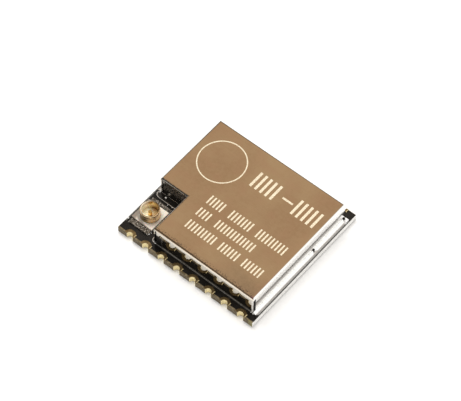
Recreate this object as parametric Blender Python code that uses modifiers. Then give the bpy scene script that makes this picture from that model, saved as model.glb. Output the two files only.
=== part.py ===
"""Shielded radio module: a castellated circuit board, a folded shield can with a cut-out corner, and a
miniature coax antenna socket that stands in the cut-out.

Metres, +Z up. The origin is on the underside, in the middle of the board. +X runs along the two edges
that carry the castellated pads.
"""

import math

import bmesh
import bpy
from mathutils import Matrix

# Board
BOARD_WIDTH = 0.0160
BOARD_THICKNESS = 0.00080
COPPER = 0.00004
FIT_GAP = 0.00001
SOLDER_GAP = 0.00002

# Castellated pads, one row on each long edge
PADS_PER_EDGE = 8
PAD_PITCH = 0.0020
PAD_FROM_BOARD_END = 0.0015
PAD_WIDTH = 0.00126
PAD_REACH = 0.00062
PAD_CORNER_RADIUS = 0.00055
UNDER_PAD_REACH = 0.00130
HOLE_RADIUS = 0.00034
PLATING = 0.00004
HOLE_STEPS = 24
PAD_END_STEPS = 6

# Shield can, folded from one sheet
CAN_FROM_BOARD_END = 0.0006
CAN_FROM_NEAR_EDGE = 0.0009
CAN_FROM_FAR_EDGE = 0.0011
CAN_TOP = 0.0033
SHEET = 0.00015
FOLD_RADIUS = 0.00022
FOLD_STEPS = 5
NOTCH_PAST_SOCKET_X = 0.00099
NOTCH_PAST_SOCKET_Y = 0.00155
SLIT_WIDTH = 0.00016
SLIT_BELOW_TOP = 0.00030
VENT_RADIUS = 0.00016
VENT_STEPS = 16
VENT_FROM_END = 0.00022
VENT_SPACING = 0.00463
VENT_COUNT = 2

# Tinned land that the can is soldered to
LAND_INSIDE = 0.00025
LAND_PAST_LONG_WALLS = 0.00008
LAND_PAST_SHORT_WALLS = 0.00048
LAND_PAST_NOTCH_END = 0.00038
LAND_PAST_NOTCH_SIDE = 0.00067
LAND_CORNER_RADIUS = 0.00040

# Antenna socket
HOUSING_FROM_BOARD_END = 0.00034
HOUSING_FROM_NEAR_EDGE = 0.00164
HOUSING_SIDE = 0.00260
HOUSING_HEIGHT = 0.00036
HOUSING_BEVEL = 0.00004
SHELL_HEIGHT = 0.00135
SHELL_OUTER_RADIUS = 0.00100
SHELL_SKIRT_RADIUS = 0.00103
SHELL_WAIST_RADIUS = 0.00096
SHELL_WALL = 0.00014
SHELL_MOUTH_CHAMFER = 0.00007
STRAP_THICKNESS = 0.00010
STRAP_WIDTH = 0.00230
STRAP_REACH = 0.00048
POST_WIDTH = 0.00100
CONTACT_RADIUS = 0.00020
CONTACT_HEIGHT = 0.00095
CONTACT_STRAP_WIDTH = 0.00055
CONTACT_STRAP_REACH = 0.00030
TURN_STEPS = 40
PIN_STEPS = 20

# Transceiver chip, a leadless package
CHIP_SIDE = 0.0060
CHIP_HEIGHT = 0.00085
CHIP_BEVEL = 0.00005
CHIP_LEADS_PER_SIDE = 7
CHIP_LEAD_PITCH = 0.00065
CHIP_LEAD_WIDTH = 0.00030
CHIP_LEAD_LENGTH = 0.00040
CHIP_LEAD_STANDOFF = 0.00003
CHIP_FROM_CAN_END = 0.0056

# Quartz crystal in a ceramic tray with a seam-welded lid
CRYSTAL_LENGTH = 0.0032
CRYSTAL_WIDTH = 0.0025
CRYSTAL_HEIGHT = 0.00055
CRYSTAL_LID_MARGIN = 0.00015
CRYSTAL_LID_THICKNESS = 0.00012
CRYSTAL_FROM_CAN_END = 0.0010
CRYSTAL_FROM_CAN_SIDE = 0.0007

# Antenna switch, a six-lead package
SWITCH_LENGTH = 0.0020
SWITCH_WIDTH = 0.00125
SWITCH_HEIGHT = 0.00080
SWITCH_STANDOFF = 0.00008
SWITCH_LEADS_PER_SIDE = 3
SWITCH_LEAD_PITCH = 0.00065
SWITCH_LEAD_WIDTH = 0.00022
SWITCH_LEAD_REACH = 0.00040
SWITCH_LEAD_THICKNESS = 0.00012
SWITCH_FROM_CAN_END = 0.0016
SWITCH_PAST_NOTCH = 0.0009

# Chip capacitors, inductors and resistors, all one size
PASSIVE_LENGTH = 0.0010
PASSIVE_WIDTH = 0.00050
PASSIVE_HEIGHT = 0.00050
PASSIVE_CAP = 0.00025
PASSIVE_CAP_STEP = 0.00002
PASSIVE_PITCH = 0.00110
PASSIVE_CLEARANCE = 0.00045
CAPACITORS_PER_ROW = 5
FILTER_CAPACITORS = 4
INDUCTORS_PER_ROW = 3
RESISTORS_PER_ROW = 3

# How far a cutter runs past what it cuts
CUT_MARGIN = 0.0010
SIDE_MARGIN = 0.00025

# Mesh settings: points closer than this are one point, and the steps in a small rounding
SAME_POINT = 1e-7
ROUND_STEPS = 4

# Levels and places worked out from the sizes above
BOARD_LENGTH = (PADS_PER_EDGE - 1) * PAD_PITCH + 2 * PAD_FROM_BOARD_END
BOARD_TOP = BOARD_THICKNESS - COPPER - FIT_GAP
BOARD_UNDERSIDE = COPPER + FIT_GAP
DRILL_RADIUS = HOLE_RADIUS + PLATING + FIT_GAP
SEAT = BOARD_TOP + SOLDER_GAP
LAND_LOW = BOARD_TOP + FIT_GAP
LAND_TOP = LAND_LOW + COPPER
CAN_FOOT = LAND_TOP + SOLDER_GAP
SOCKET_X = HOUSING_FROM_BOARD_END + (HOUSING_SIDE - BOARD_LENGTH) / 2
SOCKET_Y = HOUSING_FROM_NEAR_EDGE + (HOUSING_SIDE - BOARD_WIDTH) / 2
CAN_X0 = CAN_FROM_BOARD_END - BOARD_LENGTH / 2
CAN_X1 = BOARD_LENGTH / 2 - CAN_FROM_BOARD_END
CAN_Y0 = CAN_FROM_NEAR_EDGE - BOARD_WIDTH / 2
CAN_Y1 = BOARD_WIDTH / 2 - CAN_FROM_FAR_EDGE
NOTCH_X = SOCKET_X + HOUSING_SIDE / 2 + NOTCH_PAST_SOCKET_X
NOTCH_Y = SOCKET_Y + HOUSING_SIDE / 2 + NOTCH_PAST_SOCKET_Y

MATERIALS = {
    "solder_mask": ((0.012, 0.011, 0.010), 0.25, 0.0),
    "pad_gold": ((0.62, 0.50, 0.28), 0.30, 1.0),
    "can_steel": ((0.60, 0.53, 0.44), 0.12, 1.0),
    "tinned_land": ((0.78, 0.77, 0.74), 0.25, 1.0),
    "socket_plastic": ((0.80, 0.70, 0.60), 0.45, 0.0),
    "socket_gold": ((0.85, 0.58, 0.27), 0.22, 1.0),
    "contact_gold": ((0.88, 0.64, 0.28), 0.20, 1.0),
    "chip_resin": ((0.02, 0.02, 0.022), 0.60, 0.0),
    "crystal_ceramic": ((0.16, 0.12, 0.09), 0.55, 0.0),
    "crystal_lid": ((0.65, 0.62, 0.55), 0.25, 1.0),
    "switch_resin": ((0.03, 0.03, 0.03), 0.55, 0.0),
    "capacitor_body": ((0.42, 0.27, 0.15), 0.50, 0.0),
    "inductor_body": ((0.10, 0.17, 0.32), 0.45, 0.0),
    "resistor_body": ((0.05, 0.05, 0.06), 0.40, 0.0),
}


def clear_scene():
    for thing in list(bpy.data.objects):
        bpy.data.objects.remove(thing, do_unlink=True)


def new_collection(name, helpers=False):
    made = bpy.data.collections.new(name)
    bpy.context.scene.collection.children.link(made)
    made.hide_render = helpers
    return made


def material(name):
    found = bpy.data.materials.get(name)
    if found:
        return found
    colour, roughness, metallic = MATERIALS[name]
    made = bpy.data.materials.new(name)
    made.use_nodes = True
    shader = made.node_tree.nodes["Principled BSDF"]
    shader.inputs["Base Color"].default_value = (*colour, 1.0)
    shader.inputs["Roughness"].default_value = roughness
    shader.inputs["Metallic"].default_value = metallic
    made.diffuse_color = (*colour, 1.0)
    return made


def place(name, mesh, finish=None, at=(0.0, 0.0, 0.0), turn=0.0):
    """An object of this mesh: a part where it has a finish, and a cutter where it has none."""
    made = bpy.data.objects.new(name, mesh)
    made.location = at
    made.rotation_euler = (0.0, 0.0, turn)
    if finish is None:
        CUTTERS.objects.link(made)
        made.hide_render = True
        made.display_type = "WIRE"
        return made
    PARTS.objects.link(made)
    if not mesh.materials:
        mesh.materials.append(material(finish))
    return made


def box(name, x, y, z, finish=None):
    """A block between the two ends given for each axis."""
    shape = bmesh.new()
    ends = (x, y, z)
    middle = [(low + high) / 2 for low, high in ends]
    sides = [high - low for low, high in ends]
    spot = Matrix.Translation(middle) @ Matrix.Diagonal((*sides, 1.0))
    bmesh.ops.create_cube(shape, size=1.0, matrix=spot)
    mesh = bpy.data.meshes.new(name)
    shape.to_mesh(mesh)
    shape.free()
    return place(name, mesh, finish)


def cylinder(name, radius, centre, z, steps, lie_along_x=False):
    """A cutter: an upright cylinder between two heights, or one lying along X between two places."""
    shape = bmesh.new()
    turn = Matrix.Rotation(math.pi / 2, 4, "Y") if lie_along_x else Matrix.Identity(4)
    middle = (z[0] + z[1]) / 2
    spot = (middle, *centre) if lie_along_x else (*centre, middle)
    bmesh.ops.create_cone(
        shape, cap_ends=True, segments=steps, radius1=radius, radius2=radius, depth=z[1] - z[0],
        matrix=Matrix.Translation(spot) @ turn,
    )
    mesh = bpy.data.meshes.new(name)
    shape.to_mesh(mesh)
    shape.free()
    return place(name, mesh)


def evaluated_mesh(thing, name):
    """The mesh that an object's modifiers or curve settings make of it, with the curve's caps welded on."""
    bpy.context.view_layer.update()
    graph = bpy.context.evaluated_depsgraph_get()
    mesh = bpy.data.meshes.new_from_object(thing.evaluated_get(graph))
    mesh.name = name
    shape = bmesh.new()
    shape.from_mesh(mesh)
    bmesh.ops.remove_doubles(shape, verts=shape.verts, dist=SAME_POINT)
    shape.to_mesh(mesh)
    shape.free()
    return mesh


def plate(name, outline, z, finish=None):
    """A flat outline given thickness: a filled 2D curve between two heights, turned into a mesh."""
    curve = bpy.data.curves.new(name + "_outline", "CURVE")
    curve.dimensions = "2D"
    curve.fill_mode = "BOTH"
    curve.extrude = (z[1] - z[0]) / 2
    spline = curve.splines.new("POLY")
    spline.points.add(len(outline) - 1)
    for point, (x, y) in zip(spline.points, outline):
        point.co = (x, y, 0.0, 1.0)
    spline.use_cyclic_u = True
    drawn = bpy.data.objects.new(name + "_outline", curve)
    CUTTERS.objects.link(drawn)
    mesh = evaluated_mesh(drawn, name)
    bpy.data.objects.remove(drawn, do_unlink=True)
    bpy.data.curves.remove(curve)
    mesh.transform(Matrix.Translation((0.0, 0.0, (z[0] + z[1]) / 2)))
    return place(name, mesh, finish)


def turned(name, profile, steps, finish=None):
    """A profile of (radius, height) points spun once round Z. The points run down the outer side."""
    mesh = bpy.data.meshes.new(name)
    closed = [(i, (i + 1) % len(profile)) for i in range(len(profile))]
    if profile[0][0] == 0.0:
        closed = closed[:-1]
    mesh.from_pydata([(radius, 0.0, height) for radius, height in profile], closed, [])
    made = place(name, mesh, finish)
    screw = made.modifiers.new("turn", "SCREW")
    screw.axis = "Z"
    screw.angle = 2 * math.pi
    screw.steps = screw.render_steps = steps
    screw.use_merge_vertices = True
    screw.merge_threshold = SAME_POINT
    return made


def cut(thing, name, *cutters, operation="DIFFERENCE"):
    for number, cutter in enumerate(cutters):
        step = thing.modifiers.new(f"{name}_{number + 1}", "BOOLEAN")
        step.operation = operation
        step.solver = "EXACT"
        step.object = cutter


def join(thing, name, *others):
    cut(thing, name, *others, operation="UNION")


def bevel(thing, width, steps=2, by_weight=False):
    rounding = thing.modifiers.new("rounding", "BEVEL")
    rounding.width = width
    rounding.segments = steps
    rounding.limit_method = "WEIGHT" if by_weight else "ANGLE"
    rounding.angle_limit = math.radians(50)
    return rounding


def smooth(thing, degrees=35):
    thing.data.shade_smooth()
    thing.data.set_sharp_from_angle(angle=math.radians(degrees))


def arc(centre, radius, first, last, steps):
    """Points on an arc, with its first and last angle in degrees."""
    angles = [math.radians(first + (last - first) * i / steps) for i in range(steps + 1)]
    return [(centre[0] + radius * math.cos(a), centre[1] + radius * math.sin(a)) for a in angles]


def rounded_outline(corners, radius):
    """The outline through these corners, whose edges lie along X and Y, with an arc at each corner."""
    points = []
    count = len(corners)
    for i, (x, y) in enumerate(corners):
        before, after = corners[i - 1], corners[(i + 1) % count]
        to_before = (math.copysign(1, before[0] - x) if before[0] != x else 0.0,
                     math.copysign(1, before[1] - y) if before[1] != y else 0.0)
        to_after = (math.copysign(1, after[0] - x) if after[0] != x else 0.0,
                    math.copysign(1, after[1] - y) if after[1] != y else 0.0)
        centre = (x + radius * (to_before[0] + to_after[0]), y + radius * (to_before[1] + to_after[1]))
        first = math.degrees(math.atan2(-to_after[1], -to_after[0]))
        last = math.degrees(math.atan2(-to_before[1], -to_before[0]))
        sweep = (last - first + 180) % 360 - 180
        points += arc(centre, radius, first, first + sweep, ROUND_STEPS)
    return points


def grown(ends):
    """A stretch with the fitting gap added at each end."""
    return ends[0] - FIT_GAP, ends[1] + FIT_GAP


def can_corners(past_long=0.0, past_short=0.0, past_notch_end=0.0, past_notch_side=0.0):
    """The can's six corners in plan, anticlockwise, moved out past its long, short and cut-out walls."""
    x0, x1 = CAN_X0 - past_short, CAN_X1 + past_short
    y0, y1 = CAN_Y0 - past_long, CAN_Y1 + past_long
    notch_x, notch_y = NOTCH_X - past_notch_end, NOTCH_Y - past_notch_side
    return [(notch_x, y0), (x1, y0), (x1, y1), (x0, y1), (x0, notch_y), (notch_x, notch_y)]


def make_castellation_mesh():
    """One plated half-hole with its pads above and below, on a board edge that runs along X at y = 0."""
    half = PAD_WIDTH / 2
    middle = BOARD_THICKNESS / 2

    def outline(reach):
        round_to = min(PAD_CORNER_RADIUS, half, reach)
        side, end = half - round_to, reach - round_to
        right = arc((side, end), round_to, 0, 90, PAD_END_STEPS)
        left = arc((-side, end), round_to, 90, 180, PAD_END_STEPS)
        return [(-half, 0.0), (half, 0.0)] + right + left

    plating = plate("castellation_template", outline(UNDER_PAD_REACH), (0.0, middle), "pad_gold")
    upper = plate("castellation_upper", outline(PAD_REACH), (middle - COPPER, BOARD_THICKNESS))
    join(plating, "upper", upper)
    slab = box("castellation_slab", (-PAD_WIDTH, PAD_WIDTH), (-CUT_MARGIN, UNDER_PAD_REACH + CUT_MARGIN),
               (COPPER, BOARD_TOP + FIT_GAP))
    through = (-CUT_MARGIN, BOARD_THICKNESS + CUT_MARGIN)
    barrel = cylinder("castellation_barrel", HOLE_RADIUS + PLATING, (0.0, 0.0), through, HOLE_STEPS)
    cut(slab, "around_barrel", barrel)
    hole = cylinder("castellation_hole", HOLE_RADIUS, (0.0, 0.0), through, HOLE_STEPS)
    cut(plating, "shape", slab, hole)
    mesh = evaluated_mesh(plating, "castellation")
    bpy.data.objects.remove(plating, do_unlink=True)
    return mesh


def pad_places():
    """(x, side) of each half-hole: along the near edge from left to right, then back along the far edge."""
    along = [(i - (PADS_PER_EDGE - 1) / 2) * PAD_PITCH for i in range(PADS_PER_EDGE)]
    return [(x, -1) for x in along] + [(x, 1) for x in reversed(along)]


def make_board():
    half_length, half_width = BOARD_LENGTH / 2, BOARD_WIDTH / 2
    outline = [(-half_length, -half_width), (half_length, -half_width), (half_length, half_width),
               (-half_length, half_width)]
    board = plate("circuit_board", outline, (BOARD_UNDERSIDE, BOARD_TOP), "solder_mask")
    through = (-CUT_MARGIN, BOARD_THICKNESS + CUT_MARGIN)
    drills = [
        cylinder(f"drill_{number + 1:02d}", DRILL_RADIUS, (x, side * half_width), through, HOLE_STEPS)
        for number, (x, side) in enumerate(pad_places())
    ]
    cut(board, "drill", *drills)


def make_castellations():
    mesh = make_castellation_mesh()
    for number, (x, side) in enumerate(pad_places()):
        place(f"castellation_{number + 1:02d}", mesh, "pad_gold", (x, side * BOARD_WIDTH / 2, 0.0),
              math.pi if side > 0 else 0.0)


def make_land():
    """The tinned ring on the board that the can's foot is soldered to."""
    corners = can_corners(LAND_PAST_LONG_WALLS, LAND_PAST_SHORT_WALLS, LAND_PAST_NOTCH_END,
                          LAND_PAST_NOTCH_SIDE)
    outer = rounded_outline(corners, LAND_CORNER_RADIUS)
    land = plate("shield_land", outer, (LAND_LOW, LAND_TOP), "tinned_land")
    inside = -(SHEET + LAND_INSIDE)
    levels = (LAND_LOW - CUT_MARGIN, LAND_TOP + CUT_MARGIN)
    middle = plate("land_middle", can_corners(inside, inside, inside, inside), levels)
    cut(land, "middle", middle)


def corner_slits():
    """One cutter at the start of each wall, where the folded sheet leaves an open slit."""
    corners = can_corners()
    slits = []
    for i, (x, y) in enumerate(corners):
        before, after = corners[i - 1], corners[(i + 1) % len(corners)]
        came = (x - before[0], y - before[1])
        along = (after[0] - x, after[1] - y)
        length = math.hypot(*along)
        step = (along[0] / length, along[1] / length)
        out = (step[1], -step[0])
        convex = came[0] * along[1] - came[1] * along[0] > 0
        start = SHEET if convex else 0.0
        ends = (start, start + SLIT_WIDTH)
        reach = (-SHEET - SIDE_MARGIN, SIDE_MARGIN)
        xs = sorted(x + step[0] * a + out[0] * b for a, b in zip(ends, reach))
        ys = sorted(y + step[1] * a + out[1] * b for a, b in zip(ends, reach))
        slits.append(box(f"corner_slit_{i + 1}", xs, ys, (CAN_FOOT - CUT_MARGIN, CAN_TOP - SLIT_BELOW_TOP)))
    return slits


def foot_vents():
    """Small half-round notches in the foot of the +X wall."""
    places = [CAN_Y1 - VENT_FROM_END - i * VENT_SPACING for i in range(VENT_COUNT)]
    through = (CAN_X1 - SHEET - SIDE_MARGIN, CAN_X1 + CUT_MARGIN)
    return [
        cylinder(f"foot_vent_{i + 1}", VENT_RADIUS, (y, CAN_FOOT), through, VENT_STEPS, lie_along_x=True)
        for i, y in enumerate(places)
    ]


def make_can():
    """The folded can: an open shell of its plan, with rounded folds along the top and open corner slits."""
    shape = bmesh.new()
    top = shape.faces.new([shape.verts.new((x, y, CAN_TOP)) for x, y in can_corners()])
    walls = bmesh.ops.extrude_edge_only(shape, edges=list(top.edges))["geom"]
    low = [part for part in walls if isinstance(part, bmesh.types.BMVert)]
    bmesh.ops.translate(shape, verts=low, vec=(0.0, 0.0, CAN_FOOT - CAN_TOP))
    folds = shape.edges.layers.float.new("bevel_weight_edge")
    for edge in top.edges:
        edge[folds] = 1.0
    bmesh.ops.recalc_face_normals(shape, faces=shape.faces)
    mesh = bpy.data.meshes.new("shield_can")
    shape.to_mesh(mesh)
    shape.free()
    can = place("shield_can", mesh, "can_steel")
    bevel(can, FOLD_RADIUS, FOLD_STEPS, by_weight=True)
    thicken = can.modifiers.new("sheet", "SOLIDIFY")
    thicken.thickness = SHEET
    thicken.offset = -1.0
    thicken.use_even_offset = True
    cut(can, "slit", *corner_slits())
    cut(can, "vent", *foot_vents())
    smooth(can)


def make_socket():
    """The antenna socket: a moulded base, a ground shell with two straps, and a centre contact."""
    low = SEAT
    strap_top = low + STRAP_THICKNESS
    ring_foot = strap_top + STRAP_THICKNESS / 2
    top = BOARD_TOP + SHELL_HEIGHT
    housing_top = BOARD_TOP + HOUSING_HEIGHT
    half = HOUSING_SIDE / 2
    bore = SHELL_WAIST_RADIUS - SHELL_WALL
    rim = (SHELL_OUTER_RADIUS + bore) / 2
    round_over = SHELL_OUTER_RADIUS - rim
    waist = (housing_top + 2 * top) / 3 - 2 * round_over
    outer_rim = arc((rim, top - round_over), round_over, 90, 0, ROUND_STEPS)
    profile = outer_rim + [
        (SHELL_OUTER_RADIUS, waist + round_over),
        (SHELL_WAIST_RADIUS, waist),
        (SHELL_WAIST_RADIUS, waist - round_over),
        (SHELL_SKIRT_RADIUS, housing_top + SHELL_WALL),
        (SHELL_SKIRT_RADIUS, ring_foot),
        (bore, ring_foot),
        (bore, top - round_over - SHELL_MOUTH_CHAMFER),
        (rim - round_over / 2, top - round_over / 4),
    ]
    centre = (SOCKET_X, SOCKET_Y, 0.0)
    shell = turned("antenna_socket_shell", profile, TURN_STEPS, "socket_gold")
    outside, inside, floor = SHELL_SKIRT_RADIUS + FIT_GAP, bore - FIT_GAP, ring_foot - FIT_GAP
    section = [(outside, top), (outside, floor), (inside, floor), (inside, top)]
    groove = turned("socket_groove", section, TURN_STEPS)
    side = (-half, half)
    housing = box("antenna_socket_housing", side, side, (low, housing_top), "socket_plastic")
    bevel(housing, HOUSING_BEVEL, 2)
    for side, word in ((-1, "near"), (1, "far")):
        across, post_across = (-STRAP_WIDTH / 2, STRAP_WIDTH / 2), (-POST_WIDTH / 2, POST_WIDTH / 2)
        strap_ends = sorted((side * bore, side * (half + STRAP_REACH)))
        post_ends = sorted((side * bore, side * SHELL_OUTER_RADIUS))
        post_levels = (low + STRAP_THICKNESS / 2, ring_foot + STRAP_THICKNESS)
        strap = box(f"ground_strap_{word}", across, strap_ends, (low, strap_top))
        post = box(f"ground_post_{word}", post_across, post_ends, post_levels)
        join(shell, word, strap, post)
        strap_levels = (low - CUT_MARGIN, strap_top + FIT_GAP)
        pocket = box(f"strap_pocket_{word}", grown(across), grown(strap_ends), strap_levels)
        shaft = box(f"post_pocket_{word}", grown(post_across), grown(post_ends), (low, post_levels[1]))
        cut(housing, f"{word}_pocket", pocket, shaft)
    tip = BOARD_TOP + CONTACT_HEIGHT
    dome = CONTACT_RADIUS / 2
    pin = [(0.0, tip)] + arc((dome, tip - dome), dome, 90, 0, ROUND_STEPS)
    pin += [(CONTACT_RADIUS, low), (0.0, low)]
    contact = turned("antenna_socket_contact", pin, PIN_STEPS, "contact_gold")
    across = (-CONTACT_STRAP_WIDTH / 2, CONTACT_STRAP_WIDTH / 2)
    tail = box("contact_tail", (0.0, half + CONTACT_STRAP_REACH), across, (low, strap_top))
    join(contact, "tail", tail)
    way = cylinder("contact_way", CONTACT_RADIUS + FIT_GAP, (0.0, 0.0), (low - CUT_MARGIN, top), PIN_STEPS)
    tail_pocket = box("tail_pocket", (0.0, half + CUT_MARGIN), grown(across),
                      (low - CUT_MARGIN, strap_top + FIT_GAP))
    cut(housing, "groove", groove)
    cut(housing, "contact", way, tail_pocket)
    for piece in (shell, housing, contact):
        mesh = evaluated_mesh(piece, piece.name)
        piece.modifiers.clear()
        piece.data = mesh
        piece.location = centre
        smooth(piece)


def make_chip():
    """The transceiver in its leadless package, with its leads showing along the foot of each side."""
    middle_x = CAN_X1 - CHIP_FROM_CAN_END
    middle_y = (CAN_Y0 + CAN_Y1) / 2
    half = CHIP_SIDE / 2
    low = SEAT + CHIP_LEAD_STANDOFF
    chip = box("transceiver_chip", (-half, half), (-half, half), (low, SEAT + CHIP_HEIGHT), "chip_resin")
    bevel(chip, CHIP_BEVEL, 1)
    shape = bmesh.new()
    for side in range(4):
        for i in range(CHIP_LEADS_PER_SIDE):
            along = (i - (CHIP_LEADS_PER_SIDE - 1) / 2) * CHIP_LEAD_PITCH
            height = 4 * CHIP_LEAD_STANDOFF
            inward = half + CHIP_LEAD_STANDOFF - CHIP_LEAD_LENGTH / 2
            spot = Matrix.Translation((along, inward, SEAT + height / 2))
            size = Matrix.Diagonal((CHIP_LEAD_WIDTH, CHIP_LEAD_LENGTH, height, 1.0))
            turn = Matrix.Rotation(side * math.pi / 2, 4, "Z")
            bmesh.ops.create_cube(shape, size=1.0, matrix=turn @ spot @ size)
    mesh = bpy.data.meshes.new("chip_leads")
    shape.to_mesh(mesh)
    shape.free()
    join(chip, "leads", place("chip_leads", mesh))
    mesh = evaluated_mesh(chip, "transceiver_chip")
    chip.modifiers.clear()
    chip.data = mesh
    chip.location = (middle_x, middle_y, 0.0)
    return middle_x, middle_y


def make_crystal():
    x0 = CAN_X0 + SHEET + CRYSTAL_FROM_CAN_END
    y1 = CAN_Y1 - SHEET - CRYSTAL_FROM_CAN_SIDE
    x1, y0 = x0 + CRYSTAL_LENGTH, y1 - CRYSTAL_WIDTH
    top = SEAT + CRYSTAL_HEIGHT
    tray = box("crystal_tray", (x0, x1), (y0, y1), (SEAT, top), "crystal_ceramic")
    bevel(tray, CHIP_BEVEL, 1)
    edge = CRYSTAL_LID_MARGIN
    lid = box("crystal_lid", (x0 + edge, x1 - edge), (y0 + edge, y1 - edge),
              (top + SOLDER_GAP, top + SOLDER_GAP + CRYSTAL_LID_THICKNESS), "crystal_lid")
    bevel(lid, CRYSTAL_LID_THICKNESS / 3, 2)
    return x1, y0


def make_switch():
    """The antenna switch: a moulded block with three bent leads along each side."""
    x0 = CAN_X0 + SHEET + SWITCH_FROM_CAN_END
    y0 = NOTCH_Y + SHEET + SWITCH_PAST_NOTCH
    x_middle, y_middle = x0 + SWITCH_LENGTH / 2, y0 + SWITCH_WIDTH / 2
    body = box("antenna_switch", (x0, x0 + SWITCH_LENGTH), (y0, y0 + SWITCH_WIDTH),
               (SEAT + SWITCH_STANDOFF, SEAT + SWITCH_HEIGHT), "switch_resin")
    bevel(body, CHIP_BEVEL, 1)
    half_way = SEAT + SWITCH_HEIGHT / 2
    inside = SWITCH_WIDTH / 4
    shoulder = (SWITCH_WIDTH + SWITCH_LEAD_REACH) / 2
    tip = SWITCH_WIDTH / 2 + SWITCH_LEAD_REACH
    bend = [(inside, half_way), (shoulder, half_way), (shoulder, SEAT + SWITCH_LEAD_THICKNESS),
            (tip, SEAT + SWITCH_LEAD_THICKNESS), (tip, SEAT), (shoulder - SWITCH_LEAD_THICKNESS, SEAT),
            (shoulder - SWITCH_LEAD_THICKNESS, half_way - SWITCH_LEAD_THICKNESS),
            (inside, half_way - SWITCH_LEAD_THICKNESS)]
    upright = Matrix(((0, 0, 1, 0), (1, 0, 0, 0), (0, 1, 0, 0), (0, 0, 0, 1)))
    for side in (-1, 1):
        for i in range(SWITCH_LEADS_PER_SIDE):
            x = (i - (SWITCH_LEADS_PER_SIDE - 1) / 2) * SWITCH_LEAD_PITCH
            lead = plate(f"switch_lead_{'far' if side > 0 else 'near'}_{i + 1}", bend,
                         (x - SWITCH_LEAD_WIDTH / 2, x + SWITCH_LEAD_WIDTH / 2))
            lead.data.transform(upright)
            lead.location = (x_middle, y_middle, 0.0)
            lead.rotation_euler = (0.0, 0.0, 0.0 if side > 0 else math.pi)
            join(body, lead.name, lead)


def make_passive_mesh(name, finish):
    """One chip component along X: its body, with a plated cap round each end."""
    half = PASSIVE_LENGTH / 2
    step = PASSIVE_CAP_STEP
    body = box(name, (step - half, half - step), (step - PASSIVE_WIDTH / 2, PASSIVE_WIDTH / 2 - step),
               (SEAT + step, SEAT + PASSIVE_HEIGHT - step), finish)
    caps = [
        box(f"{name}_cap_{side}", sorted((side * half, side * (half - PASSIVE_CAP))),
            (-PASSIVE_WIDTH / 2, PASSIVE_WIDTH / 2), (SEAT, SEAT + PASSIVE_HEIGHT))
        for side in (-1, 1)
    ]
    for cap in caps:
        bevel(cap, step, 1)
    join(body, "caps", *caps)
    mesh = evaluated_mesh(body, name)
    bpy.data.objects.remove(body, do_unlink=True)
    return mesh


def row_of(kind, mesh, first, count, start, step, turn=0.0):
    """A row of like components, numbered on from the first."""
    for i in range(count):
        spot = (start[0] + i * step[0], start[1] + i * step[1], 0.0)
        place(f"{kind}_{first + i:02d}", mesh, f"{kind}_body", spot, turn)


def make_passives(chip_x, chip_y, crystal_x, crystal_y):
    """Rows of small components round the chip, beside the cut-out and beside the crystal."""
    capacitor = make_passive_mesh("capacitor", "capacitor_body")
    inductor = make_passive_mesh("inductor", "inductor_body")
    resistor = make_passive_mesh("resistor", "resistor_body")
    along_x, along_y = (PASSIVE_PITCH, 0.0), (0.0, PASSIVE_PITCH)
    upright = math.pi / 2
    beside = CHIP_SIDE / 2 + PASSIVE_CLEARANCE + PASSIVE_LENGTH / 2
    first_x = chip_x - (CAPACITORS_PER_ROW - 1) / 2 * PASSIVE_PITCH
    row_of("capacitor", capacitor, 1, CAPACITORS_PER_ROW, (first_x, chip_y + beside), along_x, upright)
    number = 1 + CAPACITORS_PER_ROW
    row_of("capacitor", capacitor, number, CAPACITORS_PER_ROW, (first_x, chip_y - beside), along_x, upright)
    number += CAPACITORS_PER_ROW
    filter_x = NOTCH_X + SHEET + PASSIVE_CLEARANCE + PASSIVE_LENGTH / 2
    filter_y = CAN_Y0 + SHEET + PASSIVE_CLEARANCE + PASSIVE_WIDTH / 2
    row_of("capacitor", capacitor, number, FILTER_CAPACITORS, (filter_x, filter_y), along_y)
    first_y = chip_y - (RESISTORS_PER_ROW - 1) / 2 * PASSIVE_PITCH
    row_of("resistor", resistor, 1, RESISTORS_PER_ROW, (chip_x + beside, first_y), along_y)
    first_y = chip_y - (INDUCTORS_PER_ROW - 1) / 2 * PASSIVE_PITCH
    row_of("inductor", inductor, 1, INDUCTORS_PER_ROW, (chip_x - beside, first_y), along_y)
    crystal_side = (crystal_x + PASSIVE_CLEARANCE + PASSIVE_LENGTH / 2, crystal_y + PASSIVE_WIDTH / 2)
    row_of("inductor", inductor, 1 + INDUCTORS_PER_ROW, INDUCTORS_PER_ROW, crystal_side, along_y)


clear_scene()
PARTS = new_collection("radio_module")
CUTTERS = new_collection("cutters", helpers=True)
make_board()
make_castellations()
make_land()
make_can()
make_socket()
chip_place = make_chip()
crystal_corner = make_crystal()
make_switch()
make_passives(*chip_place, *crystal_corner)
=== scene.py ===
"""Looks of the small shielded radio module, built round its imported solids.

Everything is in metres, in the part's own frame: +X along the two edges with half-holes, +Z up. The
materials read places in millimetres and work out relief in micrometres.
"""

import math

import bmesh
import bpy
from mathutils import Matrix, Vector, noise


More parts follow.
